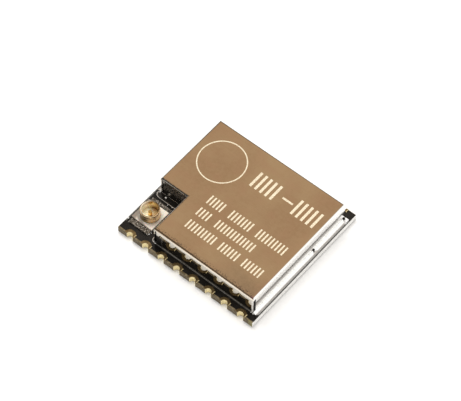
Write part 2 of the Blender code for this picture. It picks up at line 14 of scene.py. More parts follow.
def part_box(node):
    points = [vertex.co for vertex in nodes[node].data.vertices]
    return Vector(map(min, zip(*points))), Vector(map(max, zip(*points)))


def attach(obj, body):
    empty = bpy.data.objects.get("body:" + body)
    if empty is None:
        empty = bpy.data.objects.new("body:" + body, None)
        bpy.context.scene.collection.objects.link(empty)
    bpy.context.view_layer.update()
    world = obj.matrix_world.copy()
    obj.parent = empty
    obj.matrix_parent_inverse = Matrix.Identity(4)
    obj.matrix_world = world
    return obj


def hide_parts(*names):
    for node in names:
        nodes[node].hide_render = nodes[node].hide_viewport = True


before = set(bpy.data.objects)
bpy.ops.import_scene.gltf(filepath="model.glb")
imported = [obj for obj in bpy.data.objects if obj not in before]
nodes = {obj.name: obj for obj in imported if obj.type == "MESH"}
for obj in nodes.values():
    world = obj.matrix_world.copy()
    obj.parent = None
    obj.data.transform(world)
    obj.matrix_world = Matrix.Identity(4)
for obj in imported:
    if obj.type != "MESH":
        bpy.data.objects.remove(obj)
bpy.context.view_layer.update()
MM = 0.001


# Camera: a long lens on a tripod, looking down at the corner where the antenna socket's row of
# half-holes meets the plain short edge. Its place was fitted to edges measured in the photograph.
VIEW_AZIMUTH, VIEW_ELEVATION, VIEW_ROLL = (math.radians(a) for a in (39.712, 56.506, 0.145))
VIEW_DISTANCE = 215.013 * MM
VIEW_TARGET = Vector((-1.717, 1.027, 1.5)) * MM
FOCAL_PIXELS, IMAGE_PIXELS, SENSOR = 2192.81, 461, 36.0
NEAREST, FARTHEST = 1 * MM, 20.0
lens = bpy.data.cameras.new("camera")
lens.sensor_width = SENSOR
lens.lens = FOCAL_PIXELS / IMAGE_PIXELS * SENSOR
lens.clip_start, lens.clip_end = NEAREST, FARTHEST
camera = bpy.data.objects.new("camera", lens)
bpy.context.scene.collection.objects.link(camera)
back = Vector((
    math.sin(VIEW_AZIMUTH) * math.cos(VIEW_ELEVATION),
    -math.cos(VIEW_AZIMUTH) * math.cos(VIEW_ELEVATION),
    math.sin(VIEW_ELEVATION),
))
aim = (-back).to_track_quat("-Z", "Y").to_matrix().to_4x4()
camera.matrix_world = (
    Matrix.Translation(VIEW_TARGET + back * VIEW_DISTANCE) @ aim @ Matrix.Rotation(VIEW_ROLL, 4, "Z")
)
bpy.context.scene.camera = camera


# Studio: white paper under the module, and round it a bright horizon below a dim warm ceiling, which
# the can's top mirrors. A soft box stands to the right, the room is dark in front and far behind, and
# one broad light overhead reaches the dull surfaces alone.
class Wire:
    """A socket of a node tree. Arithmetic on wires adds the Math nodes that work it out."""

    def __init__(self, tree, socket=None):
        self.tree, self.socket = tree, socket

    def node(self, kind, sockets, out=0, **settings):
        """A new node of this kind: its settings come first, then its sockets."""
        made = self.tree.nodes.new("ShaderNode" + kind)
        for name, value in settings.items():
            setattr(made, name, value)
        for key, value in sockets.items():
            if isinstance(value, Wire):
                self.tree.links.new(value.socket, made.inputs[key])
            else:
                made.inputs[key].default_value = value
        return Wire(self.tree, made.outputs[out] if made.outputs else None)

    def maths(self, operation, *values):
        return self.node("Math", dict(enumerate(values)), operation=operation)

    def __add__(self, other):
        return self.maths("ADD", self, other)

    def __sub__(self, other):
        return self.maths("SUBTRACT", self, other)

    def __rsub__(self, other):
        return self.maths("SUBTRACT", other, self)

    def __mul__(self, other):
        return self.maths("MULTIPLY", self, other)

    def __abs__(self):
        return self.maths("ABSOLUTE", self)

    def __and__(self, other):
        """The lower of two wires, which is where two masks meet."""
        return self.maths("MINIMUM", self, other)

    def __or__(self, other):
        """The higher of two wires, which is where either mask is."""
        return self.maths("MAXIMUM", self, other)

    __radd__, __rmul__ = __add__, __mul__

    def rise(self, low, high):
        """0 below the first value and 1 above the second, with a smooth step between them."""
        sockets = {"Value": self, "From Min": low, "From Max": high}
        return self.node("MapRange", sockets, interpolation_type="SMOOTHSTEP")

    def tint(self, low, high):
        """The first colour where this wire is 0, and the second where it is 1."""
        low, high = (v if isinstance(v, Wire) else (*v, 1.0) for v in (low, high))
        return self.node("Mix", {0: self, 6: low, 7: high}, out=2, data_type="RGBA")

    def parts(self):
        return [self.node("SeparateXYZ", {0: self}, out=i) for i in range(3)]

    def scaled(self, x, y, z):
        return self.node("Mapping", {"Vector": self, "Scale": (x, y, z)})

    def cloud(self, scale, detail=2.0, rough=0.5):
        """Soft noise, with this many waves to a unit of the vector."""
        sockets = {"Vector": self, "Scale": scale, "Detail": detail, "Roughness": rough}
        return self.node("TexNoise", sockets)

    def cells(self, scale):
        """The distance to the nearest of many scattered points."""
        return self.node("TexVoronoi", {"Vector": self, "Scale": scale})


PAPER_SIDE, PAPER_WHITE, PAPER_GLOW = 6.0, (0.72, 0.72, 0.715, 1.0), 0.16
HORIZON, CEILING, CEILING_LEAN = (1.0, 0.985, 0.955), (0.60, 0.53, 0.46), 0.45
STUDIO_SIDES = [
    # the side, the cosines to it at which its own light begins and is full, and that light
    ((-0.371, -0.772, 0.515), 0.45, 0.95, (0.17, 0.16, 0.145)),
    ((-0.45, 0.88, 0.15), 0.72, 0.92, (0.24, 0.19, 0.14)),
    ((0.80, 0.42, 0.45), 0.79, 0.86, (1.18, 1.17, 1.15)),
]
SOFTBOX_SIDE, SOFTBOX_POWER, SOFTBOX_SPREAD = Vector((-0.38, 0.22, 0.90)), 3.0, math.radians(40)

studio = bpy.data.worlds.new("studio")
studio.use_nodes = True
studio.node_tree.nodes.clear()
facing = Wire(studio.node_tree).node("TexCoord", {})
to_right, _, upward = facing.parts()
backdrop = (upward - to_right * CEILING_LEAN).rise(0.42, 0.62).tint(HORIZON, CEILING)
for side, begins, full, light in STUDIO_SIDES:
    sockets = {0: facing, 1: Vector(side).normalized()}
    toward = facing.node("VectorMath", sockets, out=1, operation="DOT_PRODUCT")
    backdrop = toward.rise(begins, full).tint(backdrop, light)
facing.node("OutputWorld", {"Surface": facing.node("Background", {"Color": backdrop})})
bpy.context.scene.world = studio
bpy.context.scene.view_settings.view_transform = "Standard"

softbox = bpy.data.lights.new("overhead_softbox", "SUN")
softbox.energy, softbox.angle = SOFTBOX_POWER, SOFTBOX_SPREAD
lamp = bpy.data.objects.new("overhead_softbox", softbox)
lamp.rotation_mode = "QUATERNION"
lamp.rotation_quaternion = SOFTBOX_SIDE.to_track_quat("Z", "Y")
lamp.visible_glossy = False
bpy.context.scene.collection.objects.link(lamp)


def mesh_of(work, name):
    """Ends a bmesh as a mesh of this name."""
    mesh = bpy.data.meshes.new(name)
    work.to_mesh(mesh)
    work.free()
    return mesh


work = bmesh.new()
bmesh.ops.create_grid(work, x_segments=1, y_segments=1, size=PAPER_SIDE / 2)
paper = bpy.data.objects.new("paper", mesh_of(work, "paper"))
bpy.context.scene.collection.objects.link(paper)
paper_finish = bpy.data.materials.new("paper")
paper_finish.use_nodes = True
for socket, value in (
    ("Base Color", PAPER_WHITE), ("Roughness", 0.9), ("Emission Color", (1, 1, 1, 1)),
    ("Emission Strength", PAPER_GLOW), ("Specular IOR Level", 0.1),
):
    paper_finish.node_tree.nodes["Principled BSDF"].inputs[socket].default_value = value
paper_finish.cycles.emission_sampling = "NONE"
paper.data.materials.append(paper_finish)


# Circuit board: glass cloth in epoxy, 0.7 mm thick, under a glossy black solder mask. It is drilled
# and plated first and then routed through the holes, so its long edges show cut cloth. Solder paste
# has left a thin grey smear on the mask beside the can's short walls.
BOARD_LOW, BOARD_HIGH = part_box("circuit_board")
MASK_DEPTH, MASK_STEP = 0.02, 0.01
MASK_BLACK, MASK_SHEEN, SOLDER_SMEAR = (0.008, 0.007, 0.006), (0.022, 0.019, 0.016), (0.11, 0.107, 0.098)
# painted light and shade: the first pair of cut-cloth colours paints the edges in shade, the pale pair below
# paints them lit
SHADED_RESIN, SHADED_GLASS, RESIN_GREEN = (0.105, 0.078, 0.038), (0.22, 0.175, 0.108), (0.34, 0.31, 0.11)
LIT_RESIN, LIT_GLASS = (0.76, 0.75, 0.72), (0.96, 0.95, 0.93)
BARE_EDGE, BARE_FAR_EDGE, PLIES_PER_MM, WEAVE = 0.17, 0.03, 13.0, 12.0
SMEAR_FROM, SMEAR_TO, SMEAR_REACH = 8.35, 8.39, 7.0
MICROMETRE = 1e-6


def new_finish(name, roughness, metallic=0.0, **shader):
    """A finish with these constants, and a wire that carries a point's place in millimetres."""
    made = bpy.data.materials.new(name)
    made.use_nodes = True
    inputs = made.node_tree.nodes["Principled BSDF"].inputs
    inputs["Roughness"].default_value = roughness
    inputs["Metallic"].default_value = metallic
    for socket, value in shader.items():
        inputs[socket.replace("_", " ")].default_value = value
    spot = Wire(made.node_tree).node("TexCoord", {}, out=3)
    return made, spot.scaled(1 / MM, 1 / MM, 1 / MM)


def facing_x(spot):
    """1 on faces that look along X, and 0 on those that look along Y or Z."""
    return abs(spot.node("NewGeometry", {}, out=1).parts()[0])


def dress(finish, colour, roughness=None, relief=None, metallic=None):
    """Feeds wires to a finish. Relief is a height in micrometres."""
    wires = {"Base Color": colour, "Roughness": roughness, "Metallic": metallic}
    if relief is not None:
        sockets = {"Height": relief, "Distance": MICROMETRE, "Strength": 1.0}
        wires["Normal"] = relief.node("Bump", sockets)
    inputs = finish.node_tree.nodes["Principled BSDF"].inputs
    for socket, wire in wires.items():
        if wire is not None:
            finish.node_tree.links.new(wire.socket, inputs[socket])
    return finish


def mask_relief(spot):
    """Orange peel in the mask, over the faint weave of the cloth below it."""
    x, y, _ = spot.parts()
    weave = (x * WEAVE).maths("SINE", x * WEAVE) * (y * WEAVE).maths("SINE", y * WEAVE)
    return spot.cloud(3.0, 3.0) * 3.0 + weave * 0.25


board_finish, spot = new_finish("mask_over_glass_cloth", 0.2, Specular_IOR_Level=0.28)
x, y, level = spot.parts()
mask_foot, mask_base = BOARD_HIGH.z / MM - MASK_DEPTH, BOARD_LOW.z / MM + MASK_DEPTH
upper_face = level.rise(mask_foot, mask_foot + MASK_STEP)
lower_face = 1 - level.rise(mask_base - MASK_STEP, mask_base)
drawn_back = spot.cloud(2.0, 3.0) * 0.06
bare_near, bare_far = BOARD_HIGH.y / MM - BARE_EDGE, BOARD_HIGH.y / MM - BARE_FAR_EDGE
masked = (upper_face | lower_face) & (drawn_back - y).rise(bare_near + 0.07, bare_near)
masked = masked & (drawn_back + y).rise(bare_far + 0.05, bare_far)
lit_short_edge = facing_x(spot)
plies = spot.scaled(2.4, 2.4, PLIES_PER_MM).cloud(1.0, 4.0, 0.65).rise(0.38, 0.62)
# painted light and shade: cut edges that face along X take the lit pale colours, those that face along Y the
# shaded dark ones
cut = lit_short_edge.rise(0.4, 0.6).tint(plies.tint(SHADED_RESIN, SHADED_GLASS), plies.tint(LIT_RESIN, LIT_GLASS))
resin_rich = x.rise(7.85, 8.20) & y.rise(-7.90, -7.97) & lit_short_edge.rise(0.6, 0.4)
cut = (resin_rich * plies.rise(0.9, 0.1)).tint(cut, RESIN_GREEN)
dull = spot.cloud(0.9, 4.0).rise(0.35, 0.75)
dust = 1 - spot.cells(2.6).rise(0.03, 0.06)
smeared = (abs(x) + dull * 0.03).rise(SMEAR_FROM, SMEAR_TO) & abs(y).rise(SMEAR_REACH, SMEAR_REACH - 0.1)
mask_colour = (dull * 0.5 + dust * 0.25).tint(MASK_BLACK, MASK_SHEEN)
mask_colour = (smeared & upper_face).tint(mask_colour, SOLDER_SMEAR)
dress(
    board_finish, masked.tint(cut, mask_colour),
    roughness=masked * (dull * 0.12 + 0.16) + (1 - masked) * (0.75 - plies * 0.2),
    relief=masked * mask_relief(spot) + (1 - masked) * (plies * 9.0 + spot.cloud(22.0, 3.0) * 6.0),
)
nodes["circuit_board"].material_slots[0].material = board_finish


# Copper under the mask: short necks run from the half-holes to the circuits under the can, and a few
# tracks cross the underside. The mask follows them as low soft ridges, and dips over each tented via.
RIDGE_HEIGHT, NECK_WIDTH, TRACK_WIDTH = 0.020 * MM, 0.30 * MM, 0.22 * MM
NECK_FROM_EDGE, TRACK_FROM_EDGE = 0.60 * MM, 1.25 * MM
PAD_PITCH, PADS = 2.0 * MM, 8
VIA_RADIUS, VIA_RIM, VIA_RISE, VIA_DIP, VIA_SIDES = 0.17 * MM, 0.05 * MM, 0.018 * MM, 0.014 * MM, 14
GROUND_VIAS_X, GROUND_VIAS_Y = (-6, -3.6, -1.2, 1.2, 3.6, 6), (-1.3, 0, 1.3)
COPPER_SHADE, COPPER_SHEEN = (0.022, 0.018, 0.014), (0.040, 0.031, 0.023)


def show(name, mesh, finish, replaces=(), smooth_below=None):
    """Links a finished mesh as a piece that rides on the module."""
    piece = bpy.data.objects.new(name, mesh)
    bpy.context.scene.collection.objects.link(piece)
    mesh.materials.clear()
    mesh.materials.append(finish)
    if smooth_below is not None:
        mesh.shade_smooth()
        mesh.set_sharp_from_angle(angle=math.radians(smooth_below))
    if replaces:
        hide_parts(*replaces)
    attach(piece, "root")
    return piece


def ridge_mesh(name, paths, level, rise):
    """Low rounded ridges along paths of (width, points): a round curve each, flattened."""
    curve = bpy.data.curves.new(name, "CURVE")
    curve.dimensions = "3D"
    curve.bevel_depth = 0.5
    curve.bevel_resolution = 2
    curve.use_fill_caps = True
    for width, points in paths:
        line = curve.splines.new("POLY")
        line.points.add(len(points) - 1)
        for point, (x, y) in zip(line.points, points):
            point.co = (x, y, 0.0, 1.0)
            point.radius = width
    drawn = bpy.data.objects.new(name, curve)
    bpy.context.scene.collection.objects.link(drawn)
    bpy.context.view_layer.update()
    graph = bpy.context.evaluated_depsgraph_get()
    mesh = bpy.data.meshes.new_from_object(drawn.evaluated_get(graph))
    bpy.data.objects.remove(drawn, do_unlink=True)
    widest = max(width for width, points in paths)
    flatten = Matrix.Diagonal((1, 1, 2 * rise / widest, 1))
    mesh.transform(Matrix.Translation((0, 0, level)) @ flatten)
    mesh.name = name
    return mesh


def via_mesh(name, places, level, side):
    """Tented vias: low round rims on the mask, each with a dip in its middle."""
    work = bmesh.new()
    for x, y in places:
        place = Matrix.Translation((x, y, level)) @ Matrix.Diagonal((1, 1, side, 1))
        made = bmesh.ops.create_cone(
            work, cap_ends=True, segments=VIA_SIDES, radius1=VIA_RADIUS,
            radius2=VIA_RADIUS - VIA_RIM / 2, depth=2 * VIA_RISE, matrix=place,
        )["verts"]
        lid = [f for f in {f for v in made for f in v.link_faces}
               if len(f.verts) == VIA_SIDES and f.calc_center_median().z * side > level * side]
        bmesh.ops.inset_region(work, faces=lid, thickness=VIA_RIM, depth=0.0)
        for v in lid[0].verts:
            v.co.z -= side * VIA_DIP
    bmesh.ops.recalc_face_normals(work, faces=work.faces)
    return mesh_of(work, name)


def pad_x(number):
    return (number - (PADS - 1) / 2) * PAD_PITCH


edge = BOARD_HIGH.y
necks, tracks, vias = [], [], []
for side in (-1, 1):
    for number in range(PADS):
        if side > 0 or number > 1:
            x, ends = pad_x(number), (edge - NECK_FROM_EDGE, edge - TRACK_FROM_EDGE)
            necks.append((NECK_WIDTH, [(x, side * end) for end in ends]))
for number in range(PADS):
    lean = (0.9 if number % 2 else -0.6) * MM
    reach = (1.1 + 0.35 * (number * 5 % 4)) * MM
    for side in (-1, 1):
        x, start = pad_x(number), side * (edge - TRACK_FROM_EDGE)
        bend = start - side * reach
        end = (x + lean, bend - side * abs(lean))
        tracks.append((TRACK_WIDTH, [(x, start), (x, bend), end]))
        vias.append(end)
vias += [(x * MM, y * MM) for x in GROUND_VIAS_X for y in GROUND_VIAS_Y]
copper_finish, spot = new_finish("mask_over_copper", 0.18, Specular_IOR_Level=0.28)
dress(copper_finish, spot.cloud(2.0).tint(COPPER_SHADE, COPPER_SHEEN), relief=mask_relief(spot))
for name, mesh in (
    ("masked_necks", ridge_mesh("masked_necks", necks, BOARD_HIGH.z, RIDGE_HEIGHT)),
    ("masked_tracks", ridge_mesh("masked_tracks", tracks, BOARD_LOW.z, RIDGE_HEIGHT)),
    ("tented_vias", via_mesh("tented_vias", vias, BOARD_LOW.z, -1)),
):
    show(name, mesh, copper_finish, smooth_below=40)


# Half-holes: drilled, plated with copper, flashed with gold and then cut in half by the router. The
# barrels stay bright gold, lightened further and made half diffuse as a painted reflection of the paper.
# The flat pads tarnish and have a dark rim of thin mask, and the cutter leaves a rolled lip along the
# side of each pad where it comes out, whose pale half-diffuse gold is a painted glint.
PAD_GOLD, PAD_SHADE, PAD_RIM = (0.44, 0.33, 0.17), (0.24, 0.17, 0.08), (0.09, 0.065, 0.035)
# the first colour, the barrels' pale gold, is partly a painted reflection of the white paper
BARREL_GOLD_AND_REFLECTION, COPPER, RIM_FROM, RIM_TO = (0.98, 0.86, 0.52), 0.04, 0.50, 0.78
LIP_WIDTH, LIP_LENGTH, LIP_FROM_EDGE, LIP_FROM_MIDDLE = 0.08 * MM, 0.36 * MM, 0.03 * MM, 0.53 * MM
# the two lip colours are a pale gold that paints a glint
LIP_GLINT_GOLD, LIP_GLINT_PALE, BROKEN_EDGE = (0.86, 0.70, 0.36), (1.0, 0.86, 0.52), 0.008 * MM
MERGE, FLAT, SHARP = 1e-7, math.radians(0.5), math.radians(55)


def refined(name, node, finish, smooth_below=35, round_edges=0.0):
    """A merged copy of a solid, smooth over its curves and with broken edges, that stands for it."""
    work = bmesh.new()
    work.from_mesh(nodes[node].data)
    bmesh.ops.remove_doubles(work, verts=work.verts, dist=MERGE)
    bmesh.ops.dissolve_limit(work, angle_limit=FLAT, verts=work.verts, edges=work.edges)
    mesh = mesh_of(work, name)
    if "custom_normal" in mesh.attributes:
        mesh.attributes.remove(mesh.attributes["custom_normal"])
    piece = show(name, mesh, finish, (node,), smooth_below)
    if round_edges:
        broken = piece.modifiers.new("broken_edges", "BEVEL")
        broken.width, broken.segments = round_edges, 2
        broken.limit_method, broken.angle_limit = "ANGLE", SHARP
    piece.modifiers.new("flat_faces", "WEIGHTED_NORMAL").keep_sharp = True
    return piece


gold_finish, spot = new_finish("gold_flash", 0.3, 1.0)
x, y, level = spot.parts()
pad_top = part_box("castellation_01")[1].z / MM
from_middle, from_edge = 1 - x.maths("PINGPONG", x, 1.0), edge / MM - abs(y)
rim = (from_middle * from_middle + from_edge * from_edge).rise(RIM_FROM ** 2, RIM_TO ** 2)
rim = rim & level.rise(0.4, 0.41) & from_edge.rise(0.10, 0.34)
barrel = level.rise(COPPER, COPPER + 0.01) & (1 - level.rise(pad_top - COPPER - 0.01, pad_top - COPPER))
tarnish = spot.cloud(5.0, 4.0, 0.6).rise(0.40, 0.62)
scuffs = spot.scaled(9.0, 34.0, 9.0).cloud(1.0, 3.0)
flat_colour = rim.tint(tarnish.tint(PAD_GOLD, PAD_SHADE), PAD_RIM)
# painted reflection: the barrels take a pale gold and are made half diffuse, standing in for the paper they
# mirror
dress(
    gold_finish, barrel.tint(flat_colour, BARREL_GOLD_AND_REFLECTION),
    roughness=tarnish * 0.10 + scuffs * 0.12 + 0.20 + barrel * 0.15, metallic=1 - barrel * 0.55,
    relief=scuffs * 1.6 + spot.cloud(16.0, 2.0) * 2.5,
)
lips = bmesh.new()
for number in range(1, 2 * PADS + 1):
    name = f"castellation_{number:02d}"
    refined(f"half_hole_{number:02d}", name, gold_finish, round_edges=BROKEN_EDGE)
    low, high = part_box(name)
    side = 1 if low.y > 0 else -1
    x, y = (low.x + high.x) / 2 + LIP_FROM_MIDDLE, side * (edge - LIP_FROM_EDGE - LIP_LENGTH / 2)
    place = Matrix.Translation((x, y, high.z - LIP_WIDTH / 3))
    slope = Matrix.Rotation(math.radians(45), 4, "Y")
    size = Matrix.Diagonal((LIP_WIDTH, LIP_LENGTH, LIP_WIDTH, 1))
    bmesh.ops.create_cube(lips, size=1.0, matrix=place @ slope @ size)
bmesh.ops.bevel(
    lips, geom=lips.edges, offset=BROKEN_EDGE, segments=1, profile=0.5, affect="EDGES", material=-1)
# painted glint: the lips are pale gold and half diffuse, so they shine where the pads' edges catch the light
lip_glint_finish, spot = new_finish("rolled_gold_painted_glint", 0.3, 0.5)
dress(lip_glint_finish, spot.cloud(12.0).tint(LIP_GLINT_GOLD, LIP_GLINT_PALE))
show("pad_lips", mesh_of(lips, "pad_lips"), lip_glint_finish)


# Solder land: a tinned copper ring on the board, on which the can stands, masked but for its rim in the
# cut-out. The paste was reflowed in an oven: it wets the foot of each wall as a low uneven fillet, wider
# at the short ends, and stands up as small beads at the open corners.
LAND_TOP, FILLET_SINK, FILLET_CUTS = 0.80 * MM, 0.012 * MM, 70
CAN_LOW, CAN_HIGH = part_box("shield_can")
NOTCH_X, NOTCH_Y = -4.57 * MM, -2.21 * MM
FILLET_LONG, FILLET_SHORT, FILLET_NOTCH = 0.030 * MM, 0.28 * MM, 0.02 * MM
FILLET_RISE_LONG, FILLET_RISE_SHORT = 0.035 * MM, 0.20 * MM
FILLET_SECTION = ((1.0, 0.0), (0.86, 0.22), (0.50, 0.60), (0.0, 1.0), (-0.2, 0.0))
LAND_RIM_WIDTH, LAND_RIM_RISE = 0.13 * MM, 0.07 * MM
LAND_RIM = [
    (-8.10, -2.34), (-8.12, -2.52), (-8.02, -2.72), (-7.84, -2.83), (-7.60, -2.88), (-5.10, -2.88),
    (-4.96, -3.0), (-4.96, -6.72), (-4.90, -6.94), (-4.76, -7.09), (-4.52, -7.15),
]
VENTS, VENT_CLEAR = (6.78 * MM, 2.05 * MM), 0.17 * MM
# the third tin colour is painted shade for the foot of the near long wall
TIN_BRIGHT, TIN_SOFT, TIN_FOOT_SHADE = (0.96, 0.96, 0.94), (0.82, 0.82, 0.80), (0.27, 0.26, 0.24)
LAND_BRIGHT, LAND_SOFT, LAND_DULL = (0.95, 0.95, 0.96), (0.82, 0.83, 0.84), (0.13, 0.13, 0.12)
LAND_EDGE, BEAD_SOFT = 0.01 * MM, (0.80, 0.80, 0.78)
BEADS = [
    # x, y and radius
    (7.90, -7.15, 0.10), (7.66, -7.16, 0.06), (7.97, -6.92, 0.09), (7.95, 6.95, 0.12),
    (-7.95, 6.95, 0.12), (-4.44, -7.14, 0.08), (-4.66, -7.08, 0.06), (-7.98, -2.30, 0.07),
    (-7.08, -2.46, 0.12), (-5.86, -2.92, 0.08), (-6.40, -3.02, 0.05), (-8.38, -6.61, 0.10),
    (-5.56, -6.74, 0.07), (-5.86, -6.90, 0.06), (-5.50, -6.50, 0.05),
]


def can_outline(past_long, past_short, past_notch):
    """The can's six corners in plan, anticlockwise, moved out past its long, short and cut-out walls."""
    x0, x1 = CAN_LOW.x - past_short, CAN_HIGH.x + past_short
    y0, y1 = CAN_LOW.y - past_long, CAN_HIGH.y + past_long
    x2, y2 = NOTCH_X - past_notch, NOTCH_Y - past_notch
    return [(x2, y0), (x1, y0), (x1, y1), (x0, y1), (x0, y2), (x2, y2)]


def wobble(point, waves, reach):
    """A repeatable offset up or down of up to this reach, with this many waves to a millimetre."""
    return noise.noise(Vector(point) * waves / MM) * reach


can_y0, notch_x, notch_y = CAN_LOW.y / MM, NOTCH_X / MM, NOTCH_Y / MM
tin_finish, spot = new_finish("reflowed_tin", 0.2, 1.0)
x, y, level = spot.parts()
grain = spot.cloud(7.0, 4.0, 0.6)
# painted shade: the tin along the foot of the near long wall is darkened
near_foot_shade = y.rise(can_y0 + 0.02, can_y0) & abs(x).rise(7.90, 7.85) & (x - notch_x).rise(0.2, 0.3)
bright_tin = grain.rise(0.35, 0.7).tint(TIN_BRIGHT, TIN_SOFT)
dress(
    tin_finish, (near_foot_shade * grain.rise(0.62, 0.40)).tint(bright_tin, TIN_FOOT_SHADE),
    roughness=grain * 0.18 + 0.10, relief=grain * 5.0 + spot.cloud(1.8) * 12.0,
)
land_finish, spot = new_finish("tinned_copper", 0.2, 1.0)
x, y, level = spot.parts()
cut_out = (notch_x - x).rise(-0.3, 0.02) & (notch_y - y).rise(0.0, 0.02)
grain = spot.cloud(5.0, 4.0, 0.6)
frosted = x.rise(7.88, 7.96) & y.rise(6.3, 6.6)
dull_rim = y.rise(can_y0, can_y0 - 0.02) & abs(x).rise(7.90, 7.85)
dull_rim = (abs(x) + grain * 0.10).rise(8.20, 8.38) | dull_rim
bare_land = grain.rise(0.35, 0.7).tint(LAND_BRIGHT, LAND_SOFT)
bare_land = (dull_rim * (1 - frosted) * 0.42).tint(bare_land, LAND_DULL)
dress(
    land_finish, cut_out.tint(bare_land, MASK_BLACK), roughness=grain * 0.2 + 0.10,
    relief=grain * 3.0 + spot.cloud(1.8) * 9.0, metallic=1 - (cut_out | frosted * 0.75),
)
refined("tinned_land", "shield_land", land_finish, round_edges=LAND_EDGE)
rim_paths = [(LAND_RIM_WIDTH, [(x * MM, y * MM) for x, y in LAND_RIM])]
rim_mesh = ridge_mesh("land_rim", rim_paths, LAND_TOP, LAND_RIM_RISE)
show("land_rim", rim_mesh, tin_finish, smooth_below=60)

work = bmesh.new()
rings = []
for share, height in FILLET_SECTION:
    reach = [share * width for width in (FILLET_LONG, FILLET_SHORT, FILLET_NOTCH)]
    z = LAND_TOP + height * FILLET_RISE_SHORT
    corners = [work.verts.new((x, y, z)) for x, y in can_outline(*reach)]
    sides = [work.edges.new((corners[i - 1], corners[i])) for i in range(len(corners))]
    split = bmesh.ops.subdivide_edges(work, edges=sides, cuts=FILLET_CUTS)["geom_split"]
    rings.append([part for part in split if isinstance(part, bmesh.types.BMEdge)])
for ring, following in zip(rings, rings[1:] + rings[:1]):
    bmesh.ops.bridge_loops(work, edges=ring + following)
for v in work.verts:
    if abs(v.co.x) < CAN_HIGH.x:
        v.co.z = LAND_TOP + (v.co.z - LAND_TOP) * FILLET_RISE_LONG / FILLET_RISE_SHORT
    if v.co.x > CAN_HIGH.x:
        clear = min(abs(v.co.y - vent) for vent in VENTS) / VENT_CLEAR
        full = min(1.0, clear * clear)
        v.co.x = CAN_HIGH.x + (v.co.x - CAN_HIGH.x) * full
        v.co.z = LAND_TOP + (v.co.z - LAND_TOP) * full
    if v.co.z > LAND_TOP:
        v.co.z += wobble(v.co, 1.4, 0.4) * (v.co.z - LAND_TOP)
    v.co += Vector((wobble(v.co, 1.7, FILLET_SINK), wobble(v.co.yxz, 1.7, FILLET_SINK), -FILLET_SINK / 3))
bmesh.ops.recalc_face_normals(work, faces=work.faces)
show("solder_fillet", mesh_of(work, "solder_fillet"), tin_finish, smooth_below=60)

work = bmesh.new()
for x, y, radius in BEADS:
    place = Matrix.Translation((x * MM, y * MM, LAND_TOP + 0.2 * radius * MM))
    squashed = Matrix.Diagonal((1.0, 1.0, 0.75, 1.0))
    bmesh.ops.create_icosphere(work, subdivisions=3, radius=radius * MM, matrix=place @ squashed)
for v in work.verts:
    v.co.z += wobble(v.co, 4.0, 0.04 * MM)
# painted glints: the beads are pale and half diffuse, so they light up white under the overhead softbox
bead_glint_finish, spot = new_finish("tin_with_painted_glint", 0.25, 0.35)
dress(bead_glint_finish, spot.cloud(7.0).tint(TIN_BRIGHT, BEAD_SOFT), relief=spot.cloud(9.0) * 4.0)
show("solder_beads", mesh_of(work, "solder_beads"), bead_glint_finish, smooth_below=60)


# Vents: the two vents in the foot of the +X wall are painted as shade: each holds a near-black blob that
# bulges a little past the wall.
VENT_SHADE_RADIUS, VENT_SHADE_PROUD, VENT_SHADE_UP = 0.165 * MM, 0.8, 0.12 * MM
VENT_SHADE_BLACK, VENT_SHADE_BROWN = (0.004, 0.003, 0.002), (0.016, 0.011, 0.006)
vent_shade_finish, spot = new_finish("vent_painted_shade", 0.5, Specular_IOR_Level=0.1)
dress(vent_shade_finish, spot.cloud(9.0, 3.0).tint(VENT_SHADE_BLACK, VENT_SHADE_BROWN), relief=spot.cloud(6.0) * 6.0)
work = bmesh.new()
for vent in VENTS:
    place = Matrix.Translation((CAN_HIGH.x, vent, LAND_TOP + VENT_SHADE_UP))
    squashed = Matrix.Diagonal((VENT_SHADE_PROUD, 1.0, 1.0, 1.0))
    bmesh.ops.create_icosphere(work, subdivisions=3, radius=VENT_SHADE_RADIUS, matrix=place @ squashed)
show("vent_shade", mesh_of(work, "vent_shade"), vent_shade_finish, smooth_below=60)


# Shield can: one sheet of tinned nickel silver, 0.15 mm thick, pressed and folded, with its corners left
# open. Rolling leaves fine lines in the bright skin, and the press stretches a dull grain along the near
# fold and round the cut-out. Light is painted into the skin: the top's brown is partly a painted
# reflection of the warm ceiling, the long walls and the cut-out's walls are painted in shade and the
# short walls lit, and a band below the near fold is a painted highlight. The near fold, the far folds,
# the cut-out's fold and the inside are darkened as painted shade, and painted shade widens the open
# corner at +X, beside a painted highlight on the near wall. The sheared ends of the sheet are dark.
# painted reflection: the top's brown skin stands partly for the warm ceiling it mirrors
TOP_SKIN_AND_REFLECTION, TOP_TONES = (0.62, 0.448, 0.268), ((0.93, 0.87, 0.86), (1.08, 1.08, 1.08), (0.74, 0.74, 0.78))
# painted light and shade: the short walls' skin is lit pale, the long walls' and the cut-out walls' darker as
# shade
SHADED_LONG_WALL_SKIN, LIT_SHORT_WALL_SKIN, SHADED_CUT_OUT_SKIN = (0.58, 0.545, 0.485), (0.90, 0.89, 0.87), (0.45, 0.41, 0.36)
# the fold grain colour is also painted shade, the far fold colour is painted shade and the near fold colour a
# painted highlight
FOLD_GRAIN_AND_SHADE, FAR_FOLD_SHADE, NEAR_FOLD_HIGHLIGHT = (0.15, 0.115, 0.095), (0.24, 0.235, 0.215), (0.86, 0.80, 0.70)
ROSY, RUDDY, PALE_MOTTLE = (0.58, 0.33, 0.33), (0.64, 0.40, 0.25), (0.74, 0.56, 0.36)
